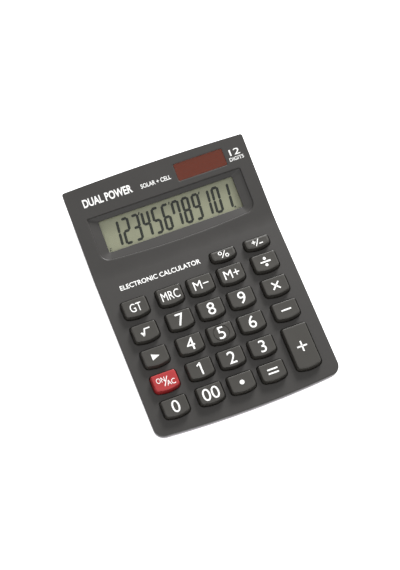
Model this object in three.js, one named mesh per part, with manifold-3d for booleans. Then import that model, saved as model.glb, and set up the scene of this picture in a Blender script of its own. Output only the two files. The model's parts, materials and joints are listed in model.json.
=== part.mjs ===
// Twelve-digit calculator with a gently sloped keyboard deck and a steeper display deck.
// Millimetres. +X is to the user's right, +Y is away from the user, +Z is up. The origin is on
// the table, midway across the case and midway between its front and rear crowns.

import * as THREE from 'three';
import { LoftGeometry } from 'three/addons/geometries/LoftGeometry.js';
import { mergeVertices } from 'three/addons/utils/BufferGeometryUtils.js';
import Module from 'manifold-3d';

const wasm = await Module();
wasm.setup();

// Case
const caseWidth = 106.5;
const keyDeckLength = 97.5;
const displayDeckLength = 51.7;
const keyTilt = THREE.MathUtils.degToRad(4);
const frontBow = 1.9;
const rearBow = 0.9;
const frontCorner = 5.5;
const rearCorner = 1.2;
const wall = 1.8;
const skirt = 2;
const lipReach = 2;
const lipWall = 1;
const floorWall = 1.6;
const bellyInset = 4;
const bellyRise = 5;
const partingInset = 0.3;
const rimBand = 2.5;
const sideTaper = 0.25;
const endTaper = 0.1;
const gap = 0.3;
const sideMargin = 8.1;

// Keys
const outerColumnGap = 5.5;
const innerColumnGap = 3.4;
const rowGap = 3.75;
const smallRowGap = 3;
const kinkMargin = 8.3;
const frontMargin = 9;
const smallKeyDepth = 7;
const keyProud = 3;
const keyStraight = 0.3;
const keyDraft = 0.8;
const keyRearCorner = 1.4;
const keyFrontCorner = 2.4;
const keyFrontBow = 0.7;
const keyClearance = 0.35;
const flangeLip = 0.45;
const flangeThickness = 0.8;

// Keypad, board and its screws
const domeHeight = 2;
const domeBase = 2.9;
const domeTop = 2.2;
const domeFoot = 0.3;
const keypadSheet = 0.6;
const keypadMargin = 0.45;
const boardThickness = 1.2;
const boardRearInset = 3;
const boardFrontInset = 7;
const boardSideLip = 0.9;
const floorClearance = 0.8;
const boardBossRadius = 1.9;
const boardShankRadius = 0.8;
const boardShankLength = 4.2;
const boardHeadRadius = 1.7;
const boardHeadHeight = 0.8;
const blobRadius = 5;
const blobHeight = 1.2;

// Display
const recessDepth = 2;
const recessSlopeSide = 5.65;
const recessSlopeRear = 2.9;
const recessSlopeFront = 5.8;
const recessFrontMargin = 5.6;
const recessFrontBow = 1.6;
const recessCorner = 5.5;
const recessLand = 0.8;
const windowThickness = 0.6;
const lcdThickness = 2;
const lcdBorder = 2.5;
const lcdFrameWall = 1.6;
const ribbonWidth = 60;
const ribbonThickness = 0.3;

// Solar panel
const solarRearMargin = 5.2;
const solarWidth = 29.4;
const solarDepth = 10.5;
const solarPocketDepth = 1;
const solarLedge = 1;
const solarToRecess = 3.4;
const solarCellThickness = 1.2;

// Power
const cellRadius = 7.25;
const cellLength = 50.5;
const cellNubRadius = 2.75;
const cellNubLength = 1;
const cellAxisMargin = 13.7;
const cellHeadroom = 0.35;
const contactThickness = 0.5;
const contactHalf = 4.5;
const springLength = 3;
const springRadius = 3.5;
const springTaper = 1.2;
const springTurns = 2.5;
const springWire = 0.35;
const compartmentWall = 1.2;
const compartmentHeight = 11.5;
const doorTop = 11.7;
const doorHookWidth = 5;
const doorHookReach = 3.5;
const doorHookOffset = 14;
const doorHookThickness = 1;

// Feet and case screws
const footRadius = 4;
const footHeight = 0.8;
const footSeat = 0.6;
const footRound = 0.3;
const footX = 38;
const footEndMargin = 11.5;
const bossRadius = 2;
const shankRadius = 1;
const shankLength = 4.4;
const headRadius = 2.1;
const headHeight = 1;
const middleBoltV = 3.6;
const rearBoltMargin = 9.2;
const boltInboard = 1.6;
const standoffRadius = 3.2;
const standoffHeight = 3.2;
const seatLedge = 1.2;
const wireRadius = 0.5;

// Sizes that follow from the ones above
const halfWidth = caseWidth / 2;
const floorTop = footHeight + floorWall;

const flangeTopZ = -(wall + gap);
const flangeBottomZ = flangeTopZ - flangeThickness;
const domeTopZ = flangeBottomZ - gap;
const sheetTopZ = domeTopZ - domeHeight;
const boardTopZ = sheetTopZ - keypadSheet - gap;
const boardBottomZ = boardTopZ - boardThickness;
const boardFrontV = keyDeckLength - boardFrontInset;

const frontHeight = floorTop + floorClearance
    - boardBottomZ * Math.cos(keyTilt) - boardFrontInset * Math.sin(keyTilt);
const kinkZ = frontHeight + keyDeckLength * Math.sin(keyTilt);

const keyWidth = (caseWidth - 2 * (sideMargin + outerColumnGap + innerColumnGap)) / 5;
const keyDepth = (keyDeckLength - kinkMargin - smallKeyDepth - smallRowGap
    - 4 * rowGap - frontMargin) / 5;
const innerColumn = keyWidth + innerColumnGap;
const outerColumn = innerColumn + keyWidth + outerColumnGap;
const columns = [-outerColumn, -innerColumn, 0, innerColumn, outerColumn];
const smallRowV = kinkMargin + smallKeyDepth / 2;
const rowPitch = keyDepth + rowGap;
const firstRowV = kinkMargin + smallKeyDepth + smallRowGap + keyDepth / 2;
const rowV = (row) => firstRowV + (row - 1) * rowPitch;
const flangeReach = keyClearance + flangeLip;
const boardHalfWidth = outerColumn + keyWidth / 2 + boardSideLip;

const recessHalfWidth = halfWidth - sideMargin;
const recessRearY = displayDeckLength - solarRearMargin - solarDepth - solarToRecess;
const apertureHalfWidth = recessHalfWidth - recessSlopeSide;
const apertureFrontY = recessFrontMargin + recessSlopeFront;
const apertureRearY = recessRearY - recessSlopeRear;
const windowTopZ = -(recessDepth + recessLand + gap);
const lcdTopZ = windowTopZ - windowThickness - gap;
const lcdBottomZ = lcdTopZ - lcdThickness;

// The display deck is tilted so that the rear foot of the display frame clears the cell below it
const cellZ = floorTop + doorHookThickness + 2 * gap + cellRadius;
const frameRearY = apertureRearY + lcdBorder + gap + lcdFrameWall;
const frameReach = Math.hypot(frameRearY, lcdBottomZ);
const frameRise = cellZ + cellRadius + cellHeadroom - kinkZ;
const displayTilt = Math.asin(frameRise / frameReach) + Math.atan2(-lcdBottomZ, frameRearY);

const keyRun = keyDeckLength * Math.cos(keyTilt);
const displayRun = displayDeckLength * Math.cos(displayTilt);
const frontY = -(keyRun + displayRun) / 2;
const kinkY = frontY + keyRun;
const rearY = kinkY + displayRun;
const rearZ = kinkZ + displayDeckLength * Math.sin(displayTilt);
const frontRimZ = frontHeight - skirt - gap;
const kinkRimZ = kinkZ - skirt - gap;
const rearRimZ = rearZ - skirt - gap;

const cellY = rearY - cellAxisMargin;
const compartmentHalf = (cellLength + springLength + springWire + 2 * contactThickness + 4 * gap) / 2;
const doorHalf = compartmentHalf - 2 * gap;
const doorFrontY = cellY - cellRadius - gap - 1.6;
const plusPlateX = compartmentHalf - gap - contactThickness;
const cellX = plusPlateX - gap - cellLength / 2;
const bossBottomZ = floorTop + standoffHeight + gap;
const seatZ = floorTop + standoffHeight - seatLedge;

// Frames of the two decks: local z is the deck's normal, local y runs up its slope, and the
// local origin is on the crease between them. A place v on the keyboard deck is y = -v.
const keyDeck = new THREE.Group();
keyDeck.position.set(0, kinkY, kinkZ);
keyDeck.rotation.x = keyTilt;
keyDeck.updateMatrix();

const displayDeck = new THREE.Group();
displayDeck.position.set(0, kinkY, kinkZ);
displayDeck.rotation.x = displayTilt;
displayDeck.updateMatrix();

const group = new THREE.Group();
group.add(keyDeck, displayDeck);

// Booleans

function bare(geometry) {
    const source = new THREE.BufferGeometry();
    source.setAttribute('position', geometry.attributes.position);
    source.setIndex(geometry.index);
    return mergeVertices(source, 1e-4);
}

function solidFrom(geometry, matrix = new THREE.Matrix4()) {
    const merged = bare(geometry).applyMatrix4(matrix);
    return new wasm.Manifold(new wasm.Mesh({
        numProp: 3,
        vertProperties: new Float32Array(merged.attributes.position.array),
        triVerts: new Uint32Array(merged.index.array),
    }));
}

function geometryFrom(solid) {
    const mesh = solid.getMesh();
    const geometry = new THREE.BufferGeometry();
    geometry.setAttribute('position', new THREE.BufferAttribute(mesh.vertProperties, 3));
    geometry.setIndex(new THREE.BufferAttribute(mesh.triVerts, 1));
    geometry.computeVertexNormals();
    return geometry;
}

function joined(solids) {
    return solids.reduce((whole, piece) => whole.add(piece));
}

function cut(solid, cutters) {
    return cutters.reduce((rest, cutter) => rest.subtract(cutter), solid);
}

// Shapes

// An outline with bowed ends. Its sides may be wider or narrower at the rear, and bend at a waist.
function roundedOutline(size, steps) {
    const { half, front, rear, frontBow: fb = 0, rearBow: rb = 0, frontRound, rearRound } = size;
    const { rearHalf = half, waist = null } = size;
    const frontEnd = front + fb;
    const rearEnd = rear - rb;
    const shape = new THREE.Shape();
    shape.moveTo(-half + frontRound, frontEnd);
    if (fb > 0) shape.quadraticCurveTo(0, front - fb, half - frontRound, frontEnd);
    else shape.lineTo(half - frontRound, frontEnd);
    shape.quadraticCurveTo(half, frontEnd, half, frontEnd + frontRound);
    if (waist) shape.lineTo(waist.half, waist.y);
    shape.lineTo(rearHalf, rearEnd - rearRound);
    shape.quadraticCurveTo(rearHalf, rearEnd, rearHalf - rearRound, rearEnd);
    if (rb > 0) shape.quadraticCurveTo(0, rear + rb, -rearHalf + rearRound, rearEnd);
    else shape.lineTo(-rearHalf + rearRound, rearEnd);
    shape.quadraticCurveTo(-rearHalf, rearEnd, -rearHalf, rearEnd - rearRound);
    if (waist) shape.lineTo(-waist.half, waist.y);
    shape.lineTo(-half, frontEnd + frontRound);
    shape.quadraticCurveTo(-half, frontEnd, -half + frontRound, frontEnd);
    const points = shape.getPoints(steps);
    if (points[0].distanceTo(points[points.length - 1]) < 1e-6) points.pop();
    return points;
}

function atHeight(outline, z) {
    return outline.map((point) => new THREE.Vector3(point.x, point.y, z));
}

function loft(sections) {
    return bare(new LoftGeometry(sections, { capStart: true, capEnd: true }));
}

function prism(outline, low, high) {
    return loft([atHeight(outline, low), atHeight(outline, high)]);
}

function block(x0, x1, y0, y1, z0, z1) {
    const box = new THREE.BoxGeometry(x1 - x0, y1 - y0, z1 - z0);
    return box.translate((x0 + x1) / 2, (y0 + y1) / 2, (z0 + z1) / 2);
}

// A turned solid on the z axis from [radius, height] pairs that start and end on the axis.
function turned(profile, segments = 12) {
    const points = profile.map(([radius, height]) => new THREE.Vector2(radius, height));
    return new THREE.LatheGeometry(points, segments).rotateX(Math.PI / 2);
}

function rod(radius, low, high, segments = 12) {
    return turned([[0, low], [radius, low], [radius, high], [0, high]], segments);
}

function moved(geometry, x, y, z) {
    return geometry.translate(x, y, z);
}

// The region below both decks, let down by a depth at right angles to each deck.
function belowDecks(depth) {
    const slope = (tilt) => new THREE.Vector2(Math.cos(tilt), Math.sin(tilt));
    const normal = (tilt) => new THREE.Vector2(-Math.sin(tilt), Math.cos(tilt));
    const reach = 40;
    const kink = new THREE.Vector2(kinkY, kinkZ);
    const half = (displayTilt - keyTilt) / 2;
    const mitre = normal(keyTilt + half).multiplyScalar(-depth / Math.cos(half));
    const corner = kink.clone().add(mitre);
    const shape = new THREE.Shape([
        corner.clone().addScaledVector(slope(keyTilt), -keyDeckLength - reach),
        new THREE.Vector2(frontY - reach, -reach),
        new THREE.Vector2(rearY + reach, -reach),
        corner.clone().addScaledVector(slope(displayTilt), displayDeckLength + reach),
        corner,
    ]);
    const across = new THREE.ExtrudeGeometry(shape, { depth: 2 * caseWidth, bevelEnabled: false });
    const basis = new THREE.Matrix4().makeBasis(
        new THREE.Vector3(0, 1, 0), new THREE.Vector3(0, 0, 1), new THREE.Vector3(1, 0, 0));
    return solidFrom(across.applyMatrix4(basis).translate(-caseWidth, 0, 0));
}

function planOutline(inset) {
    return roundedOutline({
        half: halfWidth - inset,
        front: frontY + inset,
        rear: rearY - inset,
        frontBow,
        rearBow,
        frontRound: frontCorner,
        rearRound: rearCorner,
    }, 5);
}

// The lower case stands straight for a narrow band under its rim, then leans in to its belly.
// This is how far it has leaned in at height z, where its rim is at rimZ.
function lean(rimZ, z, slope) {
    return slope * Math.max(0, rimZ - rimBand - z);
}

function tubOutline(inset, z, rearRound) {
    return roundedOutline({
        half: halfWidth - inset - lean(frontRimZ, z, sideTaper),
        rearHalf: halfWidth - inset - lean(rearRimZ, z, sideTaper),
        waist: { half: halfWidth - inset - lean(kinkRimZ, z, sideTaper), y: kinkY },
        front: frontY + inset + lean(frontRimZ, z, endTaper),
        rear: rearY - inset - lean(rearRimZ, z, endTaper),
        frontBow,
        rearBow,
        frontRound: frontCorner,
        rearRound,
    }, 5);
}

// A shallow tub whose walls curve in to a flat floor at height low.
function tub(inset, low) {
    const steps = 4;
    const sections = [];
    for (let step = 0; step <= steps; step += 1) {
        const angle = (step / steps) * Math.PI / 2;
        const pull = bellyInset * (1 - Math.sin(angle));
        const z = low + bellyRise * (1 - Math.cos(angle));
        sections.push(atHeight(tubOutline(partingInset + inset + pull, z, rearCorner + pull / 2), z));
    }
    for (const z of [kinkRimZ - rimBand, rearRimZ - rimBand, 2 * rearZ]) {
        sections.push(atHeight(tubOutline(partingInset + inset, z, rearCorner), z));
    }
    return loft(sections);
}

function keyOutline(depth, grow) {
    return roundedOutline({
        half: keyWidth / 2 + grow,
        front: -depth / 2 - grow,
        rear: depth / 2 + grow,
        frontBow: keyFrontBow,
        frontRound: keyFrontCorner + grow,
        rearRound: keyRearCorner + grow,
    }, 2);
}

// Meshes

function plastic(color, roughness = 0.6) {
    return new THREE.MeshStandardMaterial({ color, roughness, metalness: 0, flatShading: true });
}

function metal(color, roughness = 0.35) {
    return new THREE.MeshStandardMaterial({ color, roughness, metalness: 1, flatShading: true });
}

function place(parent, name, geometry, material, position = [0, 0, 0]) {
    const mesh = new THREE.Mesh(geometry, material);
    mesh.name = name;
    mesh.position.set(...position);
    parent.add(mesh);
    return mesh;
}

// Keys: name, column, centre v and depth along the deck

const keyNames = [
    ['gt', 'mrc', 'm_minus', 'm_plus', 'divide'],
    ['sqrt', '7', '8', '9', 'multiply'],
    ['arrow', '4', '5', '6', 'minus'],
    ['on_ac', '1', '2', '3', 'plus'],
    ['0', '00', 'point', 'equals'],
];

const keys = keyNames.flatMap((names, index) => names.map((name, column) => {
    const tall = name === 'plus';
    const v = tall ? rowV(index + 1) + rowPitch / 2 : rowV(index + 1);
    return { name, x: columns[column], v, depth: tall ? keyDepth + rowPitch : keyDepth };
}));
keys.push({ name: 'percent', x: columns[3], v: smallRowV, depth: smallKeyDepth });
keys.push({ name: 'sign', x: columns[4], v: smallRowV, depth: smallKeyDepth });

function keyCap(depth) {
    return loft([
        atHeight(keyOutline(depth, flangeReach), flangeBottomZ),
        atHeight(keyOutline(depth, flangeReach), flangeTopZ),
        atHeight(keyOutline(depth, 0), flangeTopZ),
        atHeight(keyOutline(depth, 0), keyStraight),
        atHeight(keyOutline(depth, -keyDraft), keyProud),
    ]);
}

for (const key of keys) {
    const color = key.name === 'on_ac' ? 0xc83c3c : 0x3a3837;
    place(keyDeck, `key_${key.name}`, keyCap(key.depth), plastic(color), [key.x, -key.v, 0]);
}

// Case bolt places. Each stands as near the side wall as the wall's lean lets it
function boltPair(name, y, inboard) {
    const rimZ = y < kinkY
        ? frontRimZ + (y - frontY) * Math.tan(keyTilt)
        : kinkRimZ + (y - kinkY) * Math.tan(displayTilt);
    const roomHalf = halfWidth - partingInset - wall - lean(rimZ, floorTop + standoffHeight, sideTaper);
    const x = roomHalf - bossRadius - gap - inboard;
    return [{ name: `${name}_left`, x: -x, y }, { name: `${name}_right`, x, y }];
}

const boltPlaces = [
    ...boltPair('front', kinkY - rowV(5) * Math.cos(keyTilt), 0),
    ...boltPair('middle', kinkY - middleBoltV, boltInboard),
    ...boltPair('rear', rearY - rearBoltMargin, boltInboard),
];

// The keypad and the board are notched round the standoffs
const boltNotches = boltPlaces.map(({ x, y }) => solidFrom(
    moved(rod(standoffRadius + gap, -1, kinkZ), x, y, 0), keyDeck.matrix.clone().invert()));

// Rubber keypad: one sheet with a dome under each key, pierced by the board's bosses

const boardBossX = innerColumn + keyWidth / 2 + outerColumnGap / 2;
const boardBosses = [rowV(1), rowV(3)].flatMap((v) => [-boardBossX, boardBossX]
    .map((x) => ({ x, y: -(v + rowPitch / 2) })));

const keypadHalfWidth = outerColumn + keyWidth / 2 + keypadMargin;
const keypadSheetSolid = solidFrom(block(
    -keypadHalfWidth, keypadHalfWidth,
    -(rowV(5) + keyDepth / 2 + keypadMargin), -(kinkMargin - keypadMargin),
    sheetTopZ - keypadSheet, sheetTopZ));
const domeProfile = [
    [0, sheetTopZ - keypadSheet / 2],
    [domeBase, sheetTopZ - keypadSheet / 2],
    [domeBase, sheetTopZ + domeFoot],
    [domeTop, domeTopZ],
    [0, domeTopZ],
];
const domes = keys.map((key) => solidFrom(moved(turned(domeProfile, 8), key.x, -key.v, 0)));
const keypadHoles = boardBosses.map(({ x, y }) => solidFrom(
    moved(rod(boardBossRadius + gap, boardTopZ - 1, domeTopZ), x, y, 0)));
const keypadSolid = cut(joined([keypadSheetSolid, ...domes]), [...keypadHoles, ...boltNotches]);
place(keyDeck, 'rubber_keypad', geometryFrom(keypadSolid), plastic(0x9a9a96, 0.8));

// Circuit board, its chip under a blob of resin, and its four screws

const boardSheet = solidFrom(block(
    -boardHalfWidth, boardHalfWidth, -boardFrontV, -boardRearInset, boardBottomZ, boardTopZ));
const boardHoles = boardBosses.map(({ x, y }) => solidFrom(
    moved(rod(boardShankRadius + gap, boardBottomZ - 1, boardTopZ + 1), x, y, 0)));
const boardSolid = cut(boardSheet, [...boardHoles, ...boltNotches]);
place(keyDeck, 'circuit_board', geometryFrom(boardSolid), plastic(0xb8a060, 0.5));

place(keyDeck, 'processor_blob', turned([
    [0, -blobHeight],
    [blobRadius * 0.6, -blobHeight * 0.85],
    [blobRadius, 0],
    [0, 0],
]), plastic(0x111111, 0.3), [0, -rowV(1) - rowPitch / 2, boardBottomZ - gap]);

boardBosses.forEach(({ x, y }, index) => {
    const end = index < 2 ? 'rear' : 'front';
    const screw = turned([
        [0, -boardHeadHeight],
        [boardHeadRadius, -boardHeadHeight],
        [boardHeadRadius, 0],
        [boardShankRadius, 0],
        [boardShankRadius, boardShankLength],
        [0, boardShankLength],
    ], 10);
    const position = [x, y, boardBottomZ - gap];
    place(keyDeck, `board_screw_${end}_${index % 2 ? 'right' : 'left'}`, screw, metal(0xb0b0b0), position);
});

// Display stack under the recess: clear window, glass panel, and the frame that holds them

function displayRectangle(border, low, high) {
    return block(
        -apertureHalfWidth - border, apertureHalfWidth + border,
        apertureFrontY - border, apertureRearY + border, low, high);
}

place(displayDeck, 'display_window',
    displayRectangle(lcdBorder, windowTopZ - windowThickness, windowTopZ), plastic(0xd8e0e0, 0.1));
place(displayDeck, 'lcd_panel',
    displayRectangle(lcdBorder, lcdBottomZ, lcdTopZ), plastic(0x8b8b74, 0.3));
const frameOuter = solidFrom(displayRectangle(lcdBorder + gap + lcdFrameWall, lcdBottomZ, windowTopZ));
const frameInner = solidFrom(displayRectangle(lcdBorder + gap, lcdBottomZ - 1, windowTopZ + 1));
place(displayDeck, 'lcd_frame', geometryFrom(frameOuter.subtract(frameInner)), plastic(0xd0d0cc));

// Solar panel: clear cover in a pocket of the deck, and the cell behind it

const solarRight = apertureHalfWidth;
const solarLeft = solarRight - solarWidth;
const solarRear = displayDeckLength - solarRearMargin;
const solarFront = solarRear - solarDepth;

function solarRectangle(border, low, high) {
    return block(
        solarLeft - border, solarRight + border, solarFront - border, solarRear + border, low, high);
}

place(displayDeck, 'solar_window',
    solarRectangle(-gap, gap - solarPocketDepth, -0.1), plastic(0x6a3a34, 0.1));
place(displayDeck, 'solar_cell',
    solarRectangle(-0.5, -wall - gap - solarCellThickness, -wall - gap), plastic(0x5a3028, 0.2));

// Upper case: both decks and a short skirt

function recessOutline(shrinkSide, shrinkRear, shrinkFront, bow, round) {
    return roundedOutline({
        half: recessHalfWidth - shrinkSide,
        front: recessFrontMargin + shrinkFront,
        rear: recessRearY - shrinkRear,
        frontBow: bow,
        frontRound: round,
        rearRound: 0.6,
    }, 4);
}

function upperCase() {
    const top = 3 * rearZ;
    const mass = solidFrom(prism(planOutline(0), -1, top)).intersect(belowDecks(0));
    const hollow = solidFrom(prism(planOutline(wall), -2, top)).intersect(belowDecks(wall));
    const shell = mass.subtract(belowDecks(skirt)).subtract(hollow);

    const rim = recessOutline(0, 0, 0, recessFrontBow, recessCorner);
    const mouth = recessOutline(recessSlopeSide, recessSlopeRear, recessSlopeFront, 0.01, 0.6);
    const basinRim = recessOutline(-wall, -wall, -wall, recessFrontBow, recessCorner);
    const basinFoot = recessOutline(
        recessSlopeSide - wall, recessSlopeRear - wall, recessSlopeFront - wall, 0.01, 0.6);
    const landZ = -(recessDepth + recessLand);
    const basin = solidFrom(loft([
        atHeight(basinFoot, landZ),
        atHeight(basinFoot, -recessDepth),
        atHeight(basinRim, -wall / 2),
    ]), displayDeck.matrix);
    const basinCut = solidFrom(loft([
        atHeight(mouth, landZ - 1),
        atHeight(mouth, -recessDepth),
        atHeight(rim, 0),
        atHeight(rim, 1),
    ]), displayDeck.matrix);

    const solarCuts = [
        solidFrom(solarRectangle(0, -solarPocketDepth, 1), displayDeck.matrix),
        solidFrom(solarRectangle(-solarLedge, -wall - 1, 1), displayDeck.matrix),
    ];
    const keyHoles = keys.map((key) => solidFrom(
        moved(prism(keyOutline(key.depth, keyClearance), -wall - 1, 1), key.x, -key.v, 0),
        keyDeck.matrix));

    const boardPosts = boardBosses.map(({ x, y }) => solidFrom(
        moved(rod(boardBossRadius, boardTopZ + gap, -wall / 2), x, y, 0), keyDeck.matrix));
    const boardPostHoles = boardBosses.map(({ x, y }) => solidFrom(
        moved(rod(boardShankRadius + gap, boardTopZ, -wall - gap), x, y, 0), keyDeck.matrix));

    const underSkin = belowDecks(wall / 2);
    const interior = solidFrom(tub(wall + gap, floorTop + gap));
    const posts = boltPlaces.map(({ x, y }) => solidFrom(
        moved(rod(bossRadius, bossBottomZ, top), x, y, 0)).intersect(underSkin).intersect(interior));
    const postHoles = boltPlaces.map(({ x, y }) => solidFrom(
        moved(rod(shankRadius + gap, bossBottomZ - 1, seatZ + shankLength), x, y, 0)));

    const lipOutside = partingInset + wall + gap;
    const lip = solidFrom(prism(planOutline(lipOutside), -1, top))
        .subtract(solidFrom(prism(planOutline(lipOutside + lipWall), -2, 2 * top)))
        .intersect(underSkin)
        .intersect(interior)
        .subtract(belowDecks(skirt + lipReach));

    const whole = joined([shell, basin, lip, ...boardPosts, ...posts]);
    return cut(whole, [basinCut, ...solarCuts, ...keyHoles, ...boardPostHoles, ...postHoles]);
}

place(group, 'upper_case', geometryFrom(upperCase()), plastic(0x4e4c4a));

// Lower case: a shallow tub whose walls curve in to a flat floor, with the battery bay at the rear

const tubMass = solidFrom(tub(0, footHeight));
const tubShell = tubMass.subtract(solidFrom(tub(wall, floorTop)));

function doorRegion(grow) {
    return solidFrom(block(
        -doorHalf - grow, doorHalf + grow, doorFrontY - grow, rearY + 10, -1, doorTop + grow));
}

const doorHooks = [-doorHookOffset, doorHookOffset].map((x) => ({ x, grow: 0 }));

function hook({ x, grow }) {
    const low = floorTop + gap - grow;
    return solidFrom(block(
        x - doorHookWidth / 2 - grow, x + doorHookWidth / 2 + grow,
        doorFrontY - doorHookReach - grow, doorFrontY + 2 + grow,
        low, low + doorHookThickness + 2 * grow));
}

const footPlaces = [
    { name: 'front_left', x: -footX, y: frontY + footEndMargin },
    { name: 'front_right', x: footX, y: frontY + footEndMargin },
    { name: 'rear_left', x: -footX, y: rearY - footEndMargin },
    { name: 'rear_right', x: footX, y: rearY - footEndMargin },
];

function lowerCase() {
    const shell = tubShell.intersect(belowDecks(skirt + gap));
    const standoffs = boltPlaces.map(({ x, y }) => solidFrom(
        moved(rod(standoffRadius, floorTop - 0.5, floorTop + standoffHeight), x, y, 0))
        .intersect(tubMass));
    const bayFront = doorFrontY - 2 * gap;
    const bayTop = floorTop + compartmentHeight;
    const bayWall = solidFrom(block(
        -compartmentHalf - compartmentWall, compartmentHalf + compartmentWall,
        bayFront - compartmentWall, bayFront, floorTop - 0.5, bayTop));
    const bayEnds = [-1, 1].map((side) => {
        const near = side * compartmentHalf;
        const far = side * (compartmentHalf + compartmentWall);
        return solidFrom(block(
            Math.min(near, far), Math.max(near, far),
            bayFront - compartmentWall, cellY + cellRadius, floorTop - 0.5, bayTop));
    });
    const whole = joined([shell, ...standoffs, bayWall, ...bayEnds]);

    const screwHoles = boltPlaces.flatMap(({ x, y }) => [
        solidFrom(moved(rod(shankRadius + gap, -1, bossBottomZ + 1), x, y, 0)),
        solidFrom(moved(rod(headRadius + gap, -1, seatZ), x, y, 0)),
    ]);
    const footSeats = footPlaces.map(({ x, y }) => solidFrom(
        moved(rod(footRadius + gap, -1, footHeight + footSeat, 16), x, y, 0)));
    const hookSlots = doorHooks.map(({ x }) => hook({ x, grow: gap }));
    return cut(whole, [doorRegion(gap), ...screwHoles, ...footSeats, ...hookSlots]);
}

place(group, 'lower_case', geometryFrom(lowerCase()), plastic(0xa9a6a4));

const hookRoots = doorHooks.map(({ x }) => solidFrom(block(
    x - doorHookWidth / 2, x + doorHookWidth / 2,
    doorFrontY, doorFrontY + 2, floorTop - 0.5, floorTop + gap + 0.5)));
const doorSolid = joined([tubShell.intersect(doorRegion(0)), ...doorHooks.map(hook), ...hookRoots]);
place(group, 'battery_door', geometryFrom(doorSolid), plastic(0xa9a6a4));

// Case screws, driven up from below, and feet

for (const { name, x, y } of boltPlaces) {
    const screw = turned([
        [0, -headHeight],
        [headRadius, -headHeight],
        [headRadius, 0],
        [shankRadius, 0],
        [shankRadius, shankLength - gap],
        [0, shankLength - gap],
    ], 10);
    place(group, `case_screw_${name}`, screw, metal(0x8f8f8f), [x, y, seatZ - gap]);
}

for (const { name, x, y } of footPlaces) {
    const foot = turned([
        [0, 0],
        [footRadius - footRound, 0],
        [footRadius, footRound],
        [footRadius, footHeight + footSeat - gap],
        [0, footHeight + footSeat - gap],
    ], 16);
    place(group, `foot_${name}`, foot, plastic(0x222222, 0.9), [x, y, 0]);
}

// Battery, lying across the case, with its coil and plate contacts

const alongX = (geometry) => geometry.rotateY(Math.PI / 2);

place(group, 'battery_cell', alongX(turned([
    [0, -cellLength / 2],
    [cellRadius, -cellLength / 2],
    [cellRadius, cellLength / 2 - cellNubLength],
    [cellNubRadius, cellLength / 2 - cellNubLength],
    [cellNubRadius, cellLength / 2],
    [0, cellLength / 2],
], 16)), metal(0x9a9a9a), [cellX, cellY, cellZ]);

place(group, 'battery_contact_plus',
    block(0, contactThickness, -contactHalf, contactHalf, -contactHalf, contactHalf), metal(0xc8c8c4),
    [plusPlateX, cellY, cellZ]);

class CoilCurve extends THREE.Curve {
    getPoint(t, target = new THREE.Vector3()) {
        const angle = t * springTurns * 2 * Math.PI;
        const radius = springRadius - t * springTaper;
        return target.set(t * springLength, radius * Math.cos(angle), radius * Math.sin(angle));
    }
}

function wireAlong(curve, radius, steps, sides = 8) {
    const ring = new THREE.Shape();
    ring.absarc(0, 0, radius, 0, 2 * Math.PI);
    const section = new THREE.Shape(ring.getPoints(sides / 2).slice(0, sides));
    return new THREE.ExtrudeGeometry(section, { steps, extrudePath: curve, bevelEnabled: false });
}

const coil = solidFrom(wireAlong(new CoilCurve(), springWire, 30, 6));
const minusPlate = solidFrom(block(
    -contactThickness, 0.1, -contactHalf, contactHalf, -contactHalf, contactHalf));
const springX = cellX - cellLength / 2 - gap - springLength - springWire;
place(group, 'battery_contact_spring', geometryFrom(coil.add(minusPlate)), metal(0xc8c8c4),
    [springX, cellY, cellZ]);

// Flat ribbon from the display down to the board, drawn in the y-z plane and swept across

function deckPoint(deck, y, z) {
    const point = new THREE.Vector3(0, y, z).applyMatrix4(deck.matrix);
    return new THREE.Vector2(point.y, point.z);
}

const ribbonLine = [
    deckPoint(displayDeck, apertureFrontY + 6, lcdBottomZ - gap - ribbonThickness),
    deckPoint(displayDeck, apertureFrontY - lcdBorder - lcdFrameWall - 2, lcdBottomZ - gap - ribbonThickness),
    deckPoint(keyDeck, -boardRearInset + 1.2, boardTopZ + gap + ribbonThickness + 0.4),
    deckPoint(keyDeck, -boardRearInset - 0.4, boardTopZ + gap),
    deckPoint(keyDeck, -kinkMargin + keypadMargin + gap + 1, boardTopZ + gap),
];
const ribbonBack = ribbonLine.map((point, index) => {
    const near = ribbonLine[Math.max(index - 1, 0)];
    const far = ribbonLine[Math.min(index + 1, ribbonLine.length - 1)];
    const along = far.clone().sub(near).normalize();
    return new THREE.Vector2(point.x + along.y * ribbonThickness, point.y - along.x * ribbonThickness);
}).reverse();
const ribbonShape = new THREE.Shape([...ribbonLine, ...ribbonBack]);
const ribbon = new THREE.ExtrudeGeometry(ribbonShape, { depth: ribbonWidth, bevelEnabled: false });
ribbon.applyMatrix4(new THREE.Matrix4().makeBasis(
    new THREE.Vector3(0, 1, 0), new THREE.Vector3(0, 0, 1), new THREE.Vector3(1, 0, 0)));
place(group, 'lcd_ribbon', ribbon.translate(-ribbonWidth / 2, 0, 0), plastic(0xc89a50, 0.5));

// Supply wires: from the battery contacts and the solar cell to the board's rear edge. Each
// passes low under the display frame

function supplyWire(name, color, landX, startPoints) {
    const wireZ = boardTopZ + gap + wireRadius;
    const onDeck = (y) => new THREE.Vector3(landX, y, wireZ).applyMatrix4(keyDeck.matrix);
    const curve = new THREE.CatmullRomCurve3([...startPoints, onDeck(3), onDeck(-boardRearInset - 0.5)]);
    place(group, name, wireAlong(curve, wireRadius, 6 * startPoints.length + 4), plastic(color, 0.5));
}

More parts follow.
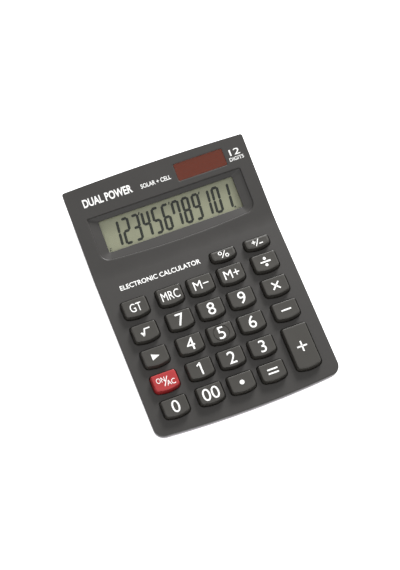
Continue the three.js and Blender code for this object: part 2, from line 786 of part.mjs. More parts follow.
const wireClearance = gap + wireRadius;
const batteryWireY = doorFrontY - 2 * gap - compartmentWall - wireClearance;
const batteryWireZ = floorTop + compartmentHeight - 2;
const batteryWireX = compartmentHalf - 2;
const batteryLandX = compartmentHalf + 8;
for (const [side, name, color] of [[1, 'red', 0xb02020], [-1, 'black', 0x181818]]) {
    supplyWire(`battery_wire_${name}`, color, side * batteryLandX, [
        new THREE.Vector3(side * batteryWireX, batteryWireY, batteryWireZ),
        new THREE.Vector3(side * batteryLandX, batteryWireY - 7, batteryWireZ - 2.5),
    ]);
}

const solarPadZ = -wall - 2 * gap - solarCellThickness - wireRadius;
for (const [offset, name, color] of [[1.5, 'red', 0xb02020], [4, 'black', 0x181818]]) {
    const start = new THREE.Vector3(solarRight - offset, solarFront + 3, solarPadZ);
    start.applyMatrix4(displayDeck.matrix);
    const landX = start.x + 2.5;
    supplyWire(`solar_wire_${name}`, color, landX, [
        start,
        new THREE.Vector3(start.x + 1, start.y - 1.5, start.z - 5),
        new THREE.Vector3(landX, cellY - cellRadius, batteryWireZ + 1.5),
        new THREE.Vector3(landX, batteryWireY - 7, batteryWireZ - 2.5),
    ]);
}

export default group;
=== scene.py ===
import json
import math

import bpy
from mathutils import Matrix, Vector

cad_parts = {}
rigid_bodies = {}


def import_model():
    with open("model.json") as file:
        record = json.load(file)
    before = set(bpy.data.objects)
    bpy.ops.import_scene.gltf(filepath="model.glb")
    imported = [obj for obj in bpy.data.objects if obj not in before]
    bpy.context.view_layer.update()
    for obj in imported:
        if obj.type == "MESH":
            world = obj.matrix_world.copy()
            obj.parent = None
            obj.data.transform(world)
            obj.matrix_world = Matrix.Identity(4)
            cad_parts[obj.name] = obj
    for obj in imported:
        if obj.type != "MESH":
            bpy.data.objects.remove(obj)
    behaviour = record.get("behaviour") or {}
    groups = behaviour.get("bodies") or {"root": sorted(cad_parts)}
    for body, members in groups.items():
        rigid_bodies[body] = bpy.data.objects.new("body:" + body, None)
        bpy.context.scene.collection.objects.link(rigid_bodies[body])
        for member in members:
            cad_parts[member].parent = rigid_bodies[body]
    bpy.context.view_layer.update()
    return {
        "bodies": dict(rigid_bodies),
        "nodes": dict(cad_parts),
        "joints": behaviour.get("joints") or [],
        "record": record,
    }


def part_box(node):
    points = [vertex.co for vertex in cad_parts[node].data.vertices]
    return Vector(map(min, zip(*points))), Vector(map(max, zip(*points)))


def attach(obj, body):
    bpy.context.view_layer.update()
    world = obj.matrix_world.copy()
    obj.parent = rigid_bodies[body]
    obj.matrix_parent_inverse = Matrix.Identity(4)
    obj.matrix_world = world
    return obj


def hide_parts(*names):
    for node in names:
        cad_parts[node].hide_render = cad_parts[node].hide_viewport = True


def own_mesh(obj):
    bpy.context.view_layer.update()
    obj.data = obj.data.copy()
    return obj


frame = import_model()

bpy.context.scene.view_settings.view_transform = "Standard"
millimetre = 0.001
near = 1e-3      # as close as two places are when they are taken for one, in millimetres
beyond = 5       # how far a cutter reaches past what it cuts


# Pieces are modelled in millimetres, flat: x to the right, y up the slope, z out of the deck,
# from an origin on the crease between the two decks. Then they are laid on a deck, in metres.

def span(node, direction):      # how far a CAD node reaches along a direction, in millimetres
    reach = [direction.dot(vert.co) / millimetre for vert in frame["nodes"][node].data.vertices]
    return min(reach), max(reach)


deckDrop = {
    "keyRise": 3.0,       # a key's face above its deck
    "keyFlange": 0.8,     # how far a key's hidden flange reaches past its face outline
    "flangeThick": 0.8,
    "flangeDrop": 2.1,    # the flange's top below the deck
    "windowDrop": 3.1,    # the display window's face below its deck
    "windowBorder": 2.5,  # the window's hidden border
}
keyNormal = -Vector(frame["joints"][0]["axis"]).normalized()
upFaces = [face for face in frame["nodes"]["display_window"].data.polygons if face.normal.z > 0.5]
displayNormal = max(upFaces, key=lambda face: face.area).normal.copy()
keySlope = keyNormal.cross(Vector((1, 0, 0)))
displaySlope = displayNormal.cross(Vector((1, 0, 0)))
keyTilt = math.atan2(keySlope.z, keySlope.y)
displayTilt = math.atan2(displaySlope.z, displaySlope.y)
keyLevel = span("key_gt", keyNormal)[1] - deckDrop["keyRise"]
displayLevel = span("display_window", displayNormal)[1] + deckDrop["windowDrop"]
spread = keyNormal.y * displayNormal.z - displayNormal.y * keyNormal.z
crease = Vector((0, (keyLevel * displayNormal.z - displayLevel * keyNormal.z) / spread,
                 (keyNormal.y * displayLevel - displayNormal.y * keyLevel) / spread))
keyDeck = Matrix.Translation(crease) @ Matrix.Rotation(keyTilt, 4, "X")
displayDeck = Matrix.Translation(crease) @ Matrix.Rotation(displayTilt, 4, "X")

caseLow, caseHigh = (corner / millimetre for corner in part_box("upper_case"))
caseHalf = caseHigh.x
deckFront = (caseLow.y - crease.y) / math.cos(keyTilt)        # along the slope, from the crease
deckRear = (caseHigh.y - crease.y) / math.cos(displayTilt)
windowFront, windowRear = (reach - crease.dot(displaySlope) for reach in span("display_window", displaySlope))
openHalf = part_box("display_window")[1].x / millimetre - deckDrop["windowBorder"]
openFront = windowFront + deckDrop["windowBorder"]
openRear = windowRear - deckDrop["windowBorder"]
print("decks found: tilts", round(math.degrees(keyTilt), 2), round(math.degrees(displayTilt), 2))


# Modelling helpers

def leaveEdit():
    bpy.ops.object.mode_set(mode="OBJECT")


def clear():
    if bpy.context.object and bpy.context.object.mode == "EDIT":
        leaveEdit()
    bpy.ops.object.select_all(action="DESELECT")


def activate(piece):
    clear()
    piece.select_set(True)
    bpy.context.view_layer.objects.active = piece


def pick(piece, kind, test):    # selects by place: test gets a middle and a direction or a normal
    bpy.ops.object.mode_set(mode="EDIT")
    bpy.ops.mesh.select_mode(type=kind)
    bpy.ops.mesh.select_all(action="DESELECT")
    leaveEdit()
    mesh = piece.data
    if kind == "VERT":
        for vert in mesh.vertices:
            vert.select = test(vert.co, vert.normal)
    elif kind == "EDGE":
        for edge in mesh.edges:
            start, end = (mesh.vertices[index].co for index in edge.vertices)
            edge.select = test((start + end) / 2, (end - start).normalized())
    else:
        for face in mesh.polygons:
            face.select = test(face.center, face.normal)
    bpy.ops.object.mode_set(mode="EDIT")


bowCuts = 11     # how often a bowed edge is divided


def plate(half, front, rear, frontRound, rearRound, frontBow=0.0, rearBow=0.0, z=0.0, arc=6):
    clear()
    bpy.ops.mesh.primitive_plane_add(size=2)
    piece = bpy.context.object
    bpy.ops.object.mode_set(mode="EDIT")
    low, high = front + frontBow, rear - rearBow
    bpy.ops.transform.resize(value=(half, (high - low) / 2, 1))
    bpy.ops.transform.translate(value=(0, (high + low) / 2, z))
    for end, sign, radius, bow in ((low, 1, frontRound, frontBow), (high, -1, rearRound, rearBow)):
        pick(piece, "VERT", lambda co, n: abs(co.y - end) < near)
        bpy.ops.mesh.bevel(offset=radius, offset_type="ABSOLUTE", segments=arc, affect="VERTICES",
                           profile=0.5)
        if bow:
            pick(piece, "EDGE", lambda co, along: abs(co.y - end) < near and abs(along.x) > 0.99)
            bpy.ops.mesh.subdivide(number_cuts=bowCuts)
            leaveEdit()
            reach = half - radius
            for vert in piece.data.vertices:
                if abs(vert.co.y - end) < near:
                    vert.co.y -= sign * bow * (1 - (vert.co.x / reach) ** 2)
    pick(piece, "FACE", lambda co, n: True)
    return piece


def stepFace(inward, rise):     # the selected face steps in and moves up; it is left selected
    if inward:
        bpy.ops.mesh.inset(thickness=inward, use_even_offset=True)
        bpy.ops.transform.translate(value=(0, 0, rise))
    else:
        bpy.ops.mesh.extrude_region_move(TRANSFORM_OT_translate={"value": (0, 0, rise)})


def shrinkFace(half, inward, rise, middle=(0, 0)):     # the same by scale, for steps past a corner's radius
    bpy.ops.mesh.extrude_region_move(TRANSFORM_OT_translate={"value": (0, 0, rise)})
    bpy.ops.transform.resize(value=((half[0] - inward) / half[0], (half[1] - inward) / half[1], 1),
                             center_override=(*middle, 0))
    return half[0] - inward, half[1] - inward


def roundEdge(inward, rise, level, steps=4):     # a quarter round that starts level, or else upright
    for step in range(steps):
        a, b = (math.pi / 2 * turn / steps for turn in (step, step + 1))
        shares = math.cos(a) - math.cos(b), math.sin(b) - math.sin(a)
        across, up = reversed(shares) if level else shares
        stepFace(inward * across, rise * up)


def dropFace():
    bpy.ops.mesh.delete(type="ONLY_FACE")
    leaveEdit()


def joinInto(piece, others):
    activate(piece)
    for other in others:
        other.select_set(True)
    bpy.ops.object.join()
    return piece


def copyOf(piece, name):
    twin = piece.copy()
    twin.data = piece.data.copy()
    twin.name = name
    bpy.context.scene.collection.objects.link(twin)
    return twin


def modify(piece, kind, **settings):
    activate(piece)
    modifier = piece.modifiers.new(kind.title(), kind)
    for name, value in settings.items():
        setattr(modifier, name, value)
    bpy.ops.object.modifier_apply(modifier=modifier.name)


def cutWith(piece, cutter, operation="DIFFERENCE"):
    modify(piece, "BOOLEAN", object=cutter, operation=operation, solver="EXACT")
    bpy.data.objects.remove(cutter)


def outwards(piece):
    pick(piece, "FACE", lambda co, n: True)
    bpy.ops.mesh.normals_make_consistent(inside=False)
    leaveEdit()


def smooth(piece, degrees=40):
    activate(piece)
    bpy.ops.object.shade_smooth_by_angle(angle=math.radians(degrees))
    modify(piece, "WEIGHTED_NORMAL", keep_sharp=True, weight=100)


def settle(piece, name, body, slotName, place=Matrix.Identity(4), material=None):    # laid in metres
    clear()
    piece.name = name
    piece.data.name = name
    piece.data.transform(Matrix.Scale(millimetre, 4) @ place)
    piece.data.materials.clear()
    piece.data.materials.append(material or slotMaterials[slotName])
    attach(piece, body)
    return piece


def drum(radius, low, high, at=(0, 0), sides=48):
    clear()
    bpy.ops.mesh.primitive_cylinder_add(vertices=sides, radius=radius, depth=high - low,
                                        location=(at[0], at[1], (low + high) / 2))
    piece = bpy.context.object
    bpy.ops.object.transform_apply(location=True)
    return piece


def extent(points):
    low = Vector([min(point[axis] for point in points) for axis in range(3)])
    high = Vector([max(point[axis] for point in points) for axis in range(3)])
    return low, high


def boxOf(node):
    return [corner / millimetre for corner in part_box(node)]


def middleOf(low, high):     # the middle of a box in x and y
    return (low.x + high.x) / 2, (low.y + high.y) / 2


def brick(low, high):
    clear()
    bpy.ops.mesh.primitive_cube_add(size=1)
    piece = bpy.context.object
    bpy.ops.object.mode_set(mode="EDIT")
    bpy.ops.transform.resize(value=tuple(b - a for a, b in zip(low, high)))
    bpy.ops.transform.translate(value=tuple((a + b) / 2 for a, b in zip(low, high)))
    leaveEdit()
    return piece


# Materials

def linear(hexCode):
    parts = [int(hexCode[place:place + 2], 16) / 255 for place in (1, 3, 5)]
    return (*(c / 12.92 if c <= 0.04045 else ((c + 0.055) / 1.055) ** 2.4 for c in parts), 1.0)


def addNode(tree, kind, settings=None, links=None):
    node = tree.nodes.new(kind)
    for name, value in (settings or {}).items():
        if hasattr(node, name):
            setattr(node, name, value)
        else:
            node.inputs[name].default_value = value
    for name, socket in (links or {}).items():
        tree.links.new(socket, node.inputs[name])
    return node


def newMaterial(name):
    material = bpy.data.materials.new(name)
    material.use_nodes = True
    tree = material.node_tree
    tree.nodes.clear()
    output = addNode(tree, "ShaderNodeOutputMaterial")
    place = addNode(tree, "ShaderNodeTexCoord").outputs["Object"]
    return material, tree, output, place


def mixInputs(tree, factor, colourA, colourB):
    mix = addNode(tree, "ShaderNodeMix", {"data_type": "RGBA"})
    for index, value in ((0, factor), (6, colourA), (7, colourB)):
        if isinstance(value, bpy.types.NodeSocket):
            tree.links.new(value, mix.inputs[index])
        else:
            mix.inputs[index].default_value = value
    return mix.outputs[2]


plasticLook = {"flow": 0.02, "glossSpread": 0.06, "grainBump": 0.5, "ior": 1.53}
metalLook = {"scratch": 0.0008, "smoother": 0.1, "rougher": 0.15, "bump": 0.3, "depth": 0.00001}
sheetLook = {"haze": 0.012, "glossSpread": 0.04, "ior": 1.49}
cellLook = {"strips": 4, "line": 0.03, "cloud": 0.003, "gloss": 0.25, "ior": 1.5}


def noise(tree, place, size, detail, roughness):
    settings = {"Scale": 1 / size, "Detail": detail, "Roughness": roughness}
    return addNode(tree, "ShaderNodeTexNoise", settings, {"Vector": place}).outputs["Fac"]


def spreadOver(tree, value, low, high):
    settings = {"To Min": low, "To Max": high}
    return addNode(tree, "ShaderNodeMapRange", settings, {"Value": value}).outputs["Result"]


def bumpFrom(tree, height, strength, depth):
    settings = {"Strength": strength, "Distance": depth}
    return addNode(tree, "ShaderNodeBump", settings, {"Height": height}).outputs["Normal"]


def principled(tree, output, settings, links):
    shader = addNode(tree, "ShaderNodeBsdfPrincipled", settings, links)
    tree.links.new(shader.outputs["BSDF"], output.inputs["Surface"])


def mouldedPlastic(name, light, dark, roughness, grain, depth):
    # Plastic or rubber from a tool: an even colour with slight flow tone, and the tool's grain as bump
    material, tree, output, place = newMaterial(name)
    flow = noise(tree, place, plasticLook["flow"], 3.0, 0.55)
    toolGrain = noise(tree, place, grain, 4.0, 0.6)
    gloss = plasticLook["glossSpread"]
    principled(tree, output, {"IOR": plasticLook["ior"]}, {
        "Base Color": mixInputs(tree, flow, linear(dark), linear(light)),
        "Roughness": spreadOver(tree, toolGrain, roughness - gloss, roughness + gloss),
        "Normal": bumpFrom(tree, toolGrain, plasticLook["grainBump"], depth)})
    return material


def platedMetal(name, tone, roughness):
    # Steel with a thin plating: fine drawn scratches vary its gloss
    material, tree, output, place = newMaterial(name)
    scratch = noise(tree, place, metalLook["scratch"], 5.0, 0.7)
    low, high = roughness - metalLook["smoother"], roughness + metalLook["rougher"]
    principled(tree, output, {"Base Color": linear(tone), "Metallic": 1.0}, {
        "Roughness": spreadOver(tree, scratch, low, high),
        "Normal": bumpFrom(tree, scratch, metalLook["bump"], metalLook["depth"])})
    return material


def mixShaders(tree, factor, first, second):
    mix = addNode(tree, "ShaderNodeMixShader")
    for index, value in ((1, first), (2, second)):
        tree.links.new(value, mix.inputs[index])
    if isinstance(factor, bpy.types.NodeSocket):
        tree.links.new(factor, mix.inputs[0])
    else:
        mix.inputs[0].default_value = factor
    return mix.outputs["Shader"]


def clearSheet(name, tint, gloss, dye="#000000", dyed=0.0):
    # Acrylic sheet: tinted light passes, some dye in it scatters, and its polished outer faces mirror
    material, tree, output, place = newMaterial(name)
    haze = noise(tree, place, sheetLook["haze"], 2.0, 0.5)
    through = addNode(tree, "ShaderNodeBsdfTransparent", {"Color": linear(tint)})
    scatter = addNode(tree, "ShaderNodeBsdfDiffuse", {"Color": linear(dye)})
    mass = mixShaders(tree, dyed, through.outputs["BSDF"], scatter.outputs["BSDF"])
    rough = spreadOver(tree, haze, gloss, gloss + sheetLook["glossSpread"])
    mirror = addNode(tree, "ShaderNodeBsdfGlossy", {}, {"Roughness": rough})
    fresnel = addNode(tree, "ShaderNodeFresnel", {"IOR": sheetLook["ior"]})
    inside = addNode(tree, "ShaderNodeNewGeometry").outputs["Backfacing"]
    outer = addNode(tree, "ShaderNodeMath", {"operation": "SUBTRACT", "use_clamp": True})
    tree.links.new(fresnel.outputs["Fac"], outer.inputs[0])
    tree.links.new(inside, outer.inputs[1])
    surface = mixShaders(tree, outer.outputs["Value"], mass, mirror.outputs["BSDF"])
    tree.links.new(surface, output.inputs["Surface"])
    return material


def siliconCell(name):
    # Amorphous silicon on glass: dark red-brown, in strips with fine pale lines between them
    material, tree, output, place = newMaterial(name)
    low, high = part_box("solar_cell")
    across = addNode(tree, "ShaderNodeSeparateXYZ", {}, {"Vector": place})
    share = addNode(tree, "ShaderNodeMapRange",
                    {"From Min": low.x, "From Max": high.x, "To Max": float(cellLook["strips"])},
                    {"Value": across.outputs["X"]})
    fraction = addNode(tree, "ShaderNodeMath", {"operation": "FRACT"}, {"Value": share.outputs["Result"]})
    line = addNode(tree, "ShaderNodeMath", {"operation": "LESS_THAN"}, {"Value": fraction.outputs["Value"]})
    line.inputs[1].default_value = cellLook["line"]
    cloud = noise(tree, place, cellLook["cloud"], 4.0, 0.7)
    film = mixInputs(tree, cloud, linear("#6c3626"), linear("#7c402e"))
    colour = mixInputs(tree, line.outputs["Value"], film, linear("#8c5844"))
    principled(tree, output, {"Roughness": cellLook["gloss"], "IOR": cellLook["ior"]}, {"Base Color": colour})
    return material


slotMaterials = {      # what each slot is made of; plastics by tones, roughness, grain and its depth
    "dark_abs": mouldedPlastic("case_abs_spark_eroded", "#343230", "#2e2c2a", 0.43, 0.0006, 0.00004),
    "dark_key_abs": mouldedPlastic("key_abs_satin_moulded", "#3c3a36", "#363430", 0.38, 0.0005, 0.00002),
    "red_key_abs": mouldedPlastic("red_key_abs_satin_moulded", "#a62a2c", "#9c2628", 0.4, 0.0005, 0.00003),
    "grey_abs": mouldedPlastic("grey_base_abs_spark_eroded", "#9c989d", "#918d92", 0.55, 0.0006, 0.00006),
    "white_abs": mouldedPlastic("white_frame_abs_moulded", "#dcdcd8", "#cfcfca", 0.5, 0.0006, 0.00004),
    "lcd_glass": mouldedPlastic("reflective_lcd_glass", "#b4b09a", "#aca892", 0.25, 0.0004, 0.000005),
    "silicone_rubber": mouldedPlastic("silicone_rubber_moulded", "#a6a6a1", "#989893", 0.7, 0.0008, 0.00004),
    "foot_rubber": mouldedPlastic("foot_rubber_moulded", "#2b2b2b", "#222222", 0.85, 0.0007, 0.00008),
    "board_laminate": mouldedPlastic("phenolic_board_laminate", "#b49a5c", "#a58a4c", 0.45, 0.0005, 0.00002),
    "epoxy_black": mouldedPlastic("epoxy_resin_cured", "#141414", "#0d0d0d", 0.25, 0.003, 0.00005),
    "ribbon_film": mouldedPlastic("polyester_ribbon_film", "#c9c2ae", "#b9b19b", 0.35, 0.001, 0.00001),
    "wire_red": mouldedPlastic("red_pvc_insulation", "#b3302c", "#a52824", 0.4, 0.002, 0.00001),
    "wire_black": mouldedPlastic("black_pvc_insulation", "#1c1c1c", "#141414", 0.4, 0.002, 0.00001),
    "nickel_plate": platedMetal("nickel_plated_spring_steel", "#cfccc4", 0.3),
    "screw_steel": platedMetal("zinc_plated_screw_steel", "#b8b8b6", 0.38),
    "clear_window": clearSheet("clear_acrylic_window", "#f4f6f4", 0.12),
    "red_window": clearSheet("dyed_acrylic_cover", "#faf0ec", 0.15, "#703728", 0.55),
    "silicon_cell": siliconCell("amorphous_silicon_cell"),
}
slotMaterials["cell_label"] = slotMaterials["wire_black"]
printInk = mouldedPlastic("white_pad_print_ink", "#f6f6f4", "#ececea", 0.55, 0.0003, 0.00001)
segmentInk = mouldedPlastic("dark_crystal_segments", "#26271f", "#1d1e18", 0.4, 0.0008, 0.00001)
cellCopper = mouldedPlastic("copper_toned_cell_film", "#b0713c", "#a46632", 0.3, 0.002, 0.00001)
print("materials made")


# Keys

keyCap = {"draft": 0.6, "straight": 0.3, "edgeRound": 0.3, "dish": 0.06, "dishRings": 5,
          "shoulder": 0.55, "shoulderDrop": 0.12, "frontRound": 2.4, "rearRound": 1.4, "frontBow": 0.7}
fingerRing = {"radius": 4.35, "round": 0.3, "lift": 0.05}
keyPlaces = {}
for bodyName in frame["bodies"]:
    if bodyName.startswith("key_"):
        low, high = (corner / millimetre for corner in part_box(bodyName))
        front, rear = (reach - crease.dot(keySlope) for reach in span(bodyName, keySlope))
        keyPlaces[bodyName] = {
            "x": (low.x + high.x) / 2,
            "y": (front + rear) / 2,
            "half": (high.x - low.x) / 2 - deckDrop["keyFlange"],
            "depth": rear - front - 2 * deckDrop["keyFlange"],
        }


def makeKeyCap(half, depth):
    flange = deckDrop["keyFlange"]
    bottom = -(deckDrop["flangeDrop"] + deckDrop["flangeThick"])
    cap = plate(half + flange, -depth / 2 - flange, depth / 2 + flange,
                keyCap["frontRound"] + flange, keyCap["rearRound"] + flange, keyCap["frontBow"], z=bottom)
    stepFace(0, deckDrop["flangeThick"])
    stepFace(flange, 0)
    stepFace(0, keyCap["straight"] - bottom - deckDrop["flangeThick"])
    edge, draft = keyCap["edgeRound"], keyCap["draft"]
    slant = deckDrop["keyRise"] - keyCap["straight"] - edge - keyCap["shoulderDrop"]
    stepFace(draft, slant)
    roundEdge(edge, edge, False)
    face = (half - draft - edge, depth / 2 - draft - edge)
    face = shrinkFace(face, keyCap["shoulder"], keyCap["shoulderDrop"])
    parts = keyCap["dishRings"] + 1
    for part in range(keyCap["dishRings"]):
        a, b = 1 - part / parts, 1 - (part + 1) / parts
        face = shrinkFace(face, face[1] / (parts - part), -keyCap["dish"] * (a ** 2 - b ** 2))
    outwards(cap)
    return cap


capModels = {}
keyPieces = {}
for name, spot in keyPlaces.items():
    size = (round(spot["half"], 2), round(spot["depth"], 2))
    if size not in capModels:
        capModels[size] = makeKeyCap(spot["half"], spot["depth"])
    keyPieces[name] = copyOf(capModels[size], name + "_cap")
    smooth(keyPieces[name])
for model in capModels.values():
    bpy.data.objects.remove(model)


def keyDeckAt(spot):
    return keyDeck @ Matrix.Translation((spot["x"], spot["y"], 0))


clear()
bpy.ops.mesh.primitive_torus_add(major_segments=72, minor_segments=10, major_radius=fingerRing["radius"],
                                 minor_radius=fingerRing["round"],
                                 location=(0, 0, deckDrop["keyRise"] - fingerRing["lift"]))
ringCutter = bpy.context.object
bpy.ops.object.transform_apply(location=True)
cutWith(keyPieces["key_5"], ringCutter)

for name, piece in keyPieces.items():
    settle(piece, name + "_cap", name, "red_key_abs" if name == "key_on_ac" else "dark_key_abs",
           keyDeckAt(keyPlaces[name]))
    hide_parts(name)
print("keys made:", len(keyPieces))


# Lettering and signs

sign = {
    "stroke": 0.43,       # half a sign's stroke
    "thick": 0.1,
    "sink": 0.9,          # how far down the dish a legend's foot lies
    "corner": 0.12,
    "hoopRound": 0.26,
    "hoopFlat": 0.38,
}


def fit(piece, height, width, at, z):      # scaled to a height, and a width if given, about a middle
    low, high = extent([vert.co for vert in piece.data.vertices])
    size = high - low
    tall = height / size.y
    wide = width / size.x if width else tall
    middle = (low + high) / 2
    piece.data.transform(Matrix.Translation((at[0], at[1], z)) @ Matrix.Diagonal((wide, tall, 1, 1))
                         @ Matrix.Translation((-middle.x, -middle.y, 0)))
    return piece


def words(body, height, at, z, width=None, weight=0.0, thick=sign["thick"]):
    clear()
    bpy.ops.object.text_add()
    text = bpy.context.object
    text.data.body = body
    text.data.size = 10
    text.data.offset = weight
    text.data.extrude = thick
    text.data.resolution_u = 4
    bpy.ops.object.convert(target="MESH")
    return fit(bpy.context.object, height, width, at, z)


def slab(half, deep, at, turn=0.0, thick=sign["thick"], corner=sign["corner"]):
    piece = plate(half, -deep, deep, corner, corner, arc=2)
    stepFace(0, thick)
    leaveEdit()
    piece.data.transform(Matrix.Translation((at[0], at[1], 0)) @ Matrix.Rotation(turn, 4, "Z"))
    return piece


def dot(radius, at):
    return drum(radius, 0, sign["thick"], at, 32)


def hoop(radius, at):
    clear()
    bpy.ops.mesh.primitive_torus_add(major_segments=28, minor_segments=8, major_radius=radius,
                                     minor_radius=sign["hoopRound"])
    piece = bpy.context.object
    piece.data.transform(Matrix.Translation((*at, 0)) @ Matrix.Diagonal((1, 1, sign["hoopFlat"], 1)))
    return piece


stroke = sign["stroke"]
signBars = {      # each by half length, half width, middle and turn
    "key_plus": [(2.85, stroke, (0, 0), 0), (stroke, 3.0, (0, 0), 0)],
    "key_minus": [(2.8, stroke, (0, 0), 0)],
    "key_multiply": [(2.9, stroke, (0, 0), math.pi / 4), (2.9, stroke, (0, 0), -math.pi / 4)],
    "key_divide": [(2.95, stroke, (0, 0), 0)],
    "key_equals": [(2.95, stroke, (0, 1.1), 0), (2.95, stroke, (0, -1.1), 0)],
    "key_percent": [(2.35, 0.24, (0, 0), 0.95)],
    "key_1": [(0.47, 3.45, (0.35, 0), 0), (1.15, 0.4, (-0.55, 2.45), 0.62)],
    "key_sqrt": [(1.5, 0.36, (1.3, 1.75), 0), (2.1, 0.4, (-0.75, -0.05), 1.25),
                 (1.1, 0.5, (-1.75, -1.15), -1.2), (0.5, 0.32, (-2.45, -0.2), 0.5)],
    "key_sign": [(1.15, 0.27, (-2.0, 0.55), 0), (0.27, 1.15, (-2.0, 0.55), 0),
                 (2.3, 0.22, (-0.1, 0), 1.05), (1.15, 0.27, (1.9, -0.9), 0)],
    "key_on_ac": [(2.9, 0.22, (0.1, 0), 1.05)],
}
signDots = {"key_divide": [(0.85, (0, 1.95)), (0.85, (0, -1.95))], "key_point": [(1.3, (0, 0))]}
signHoops = {"key_percent": [(0.86, (-1.75, 1.0)), (0.86, (1.75, -1.0))]}
signWords = {     # each by text, height, middle and width
    "key_gt": [("GT", 4.9, (0, 0), 6.6)], "key_mrc": [("MRC", 5.0, (0, 0), 10.2)],
    "key_m_minus": [("M−", 5.0, (0, 0), 8.6)], "key_m_plus": [("M+", 5.0, (0, 0), 8.8)],
    "key_00": [("00", 6.9, (0, 0), 9.4)],
    "key_on_ac": [("ON", 3.0, (-2.5, 1.3), 4.8), ("AC", 3.0, (2.6, -1.3), 4.8)],
}
for digit in "023456789":
    signWords["key_" + digit] = [(digit, 6.9, (0, 0), None)]
arrowSize = (3.6, 4.3)


def arrowSign():
    clear()
    bpy.ops.mesh.primitive_circle_add(vertices=3, radius=1, fill_type="NGON")
    arrow = bpy.context.object
    bpy.ops.object.mode_set(mode="EDIT")
    bpy.ops.mesh.select_all(action="SELECT")
    stepFace(0, sign["thick"])
    leaveEdit()
    arrow.data.transform(Matrix.Rotation(-math.pi / 2, 4, "Z"))
    return fit(arrow, arrowSize[0], arrowSize[1], (0, 0), 0)


def legendParts(name):
    parts = [words(body, height, at, 0, width) for body, height, at, width in signWords.get(name, [])]
    parts += [slab(*part) for part in signBars.get(name, [])]
    parts += [dot(*part) for part in signDots.get(name, [])]
    parts += [hoop(*part) for part in signHoops.get(name, [])]
    return parts or [arrowSign()]


for name in keyPieces:
    parts = legendParts(name)
    legend = joinInto(parts[0], parts[1:])
    legend.data.transform(Matrix.Translation((0, 0, deckDrop["keyRise"] - keyCap["dish"] * sign["sink"])))
    settle(legend, name + "_legend", name, "dark_key_abs", keyDeckAt(keyPlaces[name]), printInk)
print("legends printed")


# Upper case, flat as if its decks were in one plane, then bent at the crease

upperCase = {
    "wall": 1.8, "skirt": 2.0, "frontBow": 1.9, "rearBow": 0.92, "frontRound": 5.5, "rearRound": 1.2,
    "edgeRound": 0.5, "holeRound": 0.3, "keyGap": 0.35, "lipGap": 2.4, "lipWall": 1.0, "lipReach": 2.0,
    "blend": 3.5, "blendRows": 8, "smoothAngle": 35,
}
recess = {
    "slopeSide": 5.65, "slopeRear": 2.9, "slopeFront": 5.8, "bow": 1.6, "frontRound": 5.5, "rearRound": 0.8,
    "depth": 2.0, "land": 0.8, "step": 0.5, "stepIn": 0.15, "rimRound": 0.35, "shoulder": 0.6,
    "shoulderDrop": 0.13, "mouthRound": 0.25, "mouthCorner": 0.9,
    "mouthBow": 0.01,     # so slight that it only gives the mouth as many points as the rim has
}
solarPocket = {
    "depth": 1.0, "ledge": 1.0, "corner": 1.3, "edgeRound": 0.3, "shoulder": 0.5, "shoulderDrop": 0.11,
}
solarFront, solarRear = (reach - crease.dot(displaySlope) for reach in span("solar_window", displaySlope))
solarLow, solarHigh = (corner.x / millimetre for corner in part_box("solar_window"))


def keyHole(spot):
    grow = upperCase["keyGap"] + upperCase["holeRound"]
    hole = plate(spot["half"] + grow, -spot["depth"] / 2 - grow, spot["depth"] / 2 + grow,
                 keyCap["frontRound"] + grow, keyCap["rearRound"] + grow, keyCap["frontBow"])
    roundEdge(upperCase["holeRound"], -upperCase["holeRound"], True)
    stepFace(0, upperCase["holeRound"] - upperCase["wall"])
    dropFace()
    hole.data.transform(Matrix.Translation((spot["x"], spot["y"], 0)))
    return hole


def ringAt(grow, z, mouth):   # an open loop round the recess or round its mouth
    if mouth:
        corner = recess["mouthCorner"] + max(grow, 0)
        return plate(openHalf + grow, openFront - grow, openRear + grow, corner, corner,
                     recess["mouthBow"], z=z)
    half, rear = openHalf + recess["slopeSide"] + grow, openRear + recess["slopeRear"] + grow
    return plate(half, openFront - recess["slopeFront"] - grow, rear,
                 recess["frontRound"] + grow, recess["rearRound"] + grow, recess["bow"], z=z)


def bridge(piece, test):
    pick(piece, "EDGE", test)
    bpy.ops.mesh.bridge_edge_loops()
    leaveEdit()


def makeRecess():
    rim = ringAt(recess["rimRound"] + recess["shoulder"], 0, False)
    stepFace(recess["shoulder"], -recess["shoulderDrop"])
    roundEdge(recess["rimRound"], -recess["rimRound"], True)
    stepFace(recess["stepIn"], -recess["step"])
    dropFace()
    wallFoot = -recess["shoulderDrop"] - recess["rimRound"] - recess["step"]
    mouthTop = -recess["depth"]
    mouth = ringAt(recess["mouthRound"], mouthTop, True)
    roundEdge(recess["mouthRound"], -recess["mouthRound"], True)
    landFoot = -recess["depth"] - recess["land"]
    stepFace(0, landFoot - mouthTop + recess["mouthRound"])
    dropFace()
    pick(mouth, "EDGE", lambda c, d: abs(c.z - landFoot) < near)
    mouthHalf = (openRear - openFront) / 2
    bpy.ops.mesh.extrude_edges_move()
    bpy.ops.transform.resize(value=(1 + upperCase["wall"] / openHalf, 1 + upperCase["wall"] / mouthHalf, 1),
                             center_override=(0, openFront + mouthHalf, 0))
    leaveEdit()
    under = ringAt(upperCase["wall"], -upperCase["wall"], False)
    dropFace()
    basin = joinInto(rim, [mouth, under])
    bridge(basin, lambda c, d: abs(c.z - wallFoot) < near or abs(c.z - mouthTop) < near)
    margin = upperCase["wall"] / 2

    def outerFoot(c):
        outside = abs(c.x) > openHalf + margin or c.y > openRear + margin or c.y < openFront - margin
        return outside and abs(c.z - landFoot) < near

    bridge(basin, lambda c, d: outerFoot(c) or abs(c.z + upperCase["wall"]) < near)
    return basin


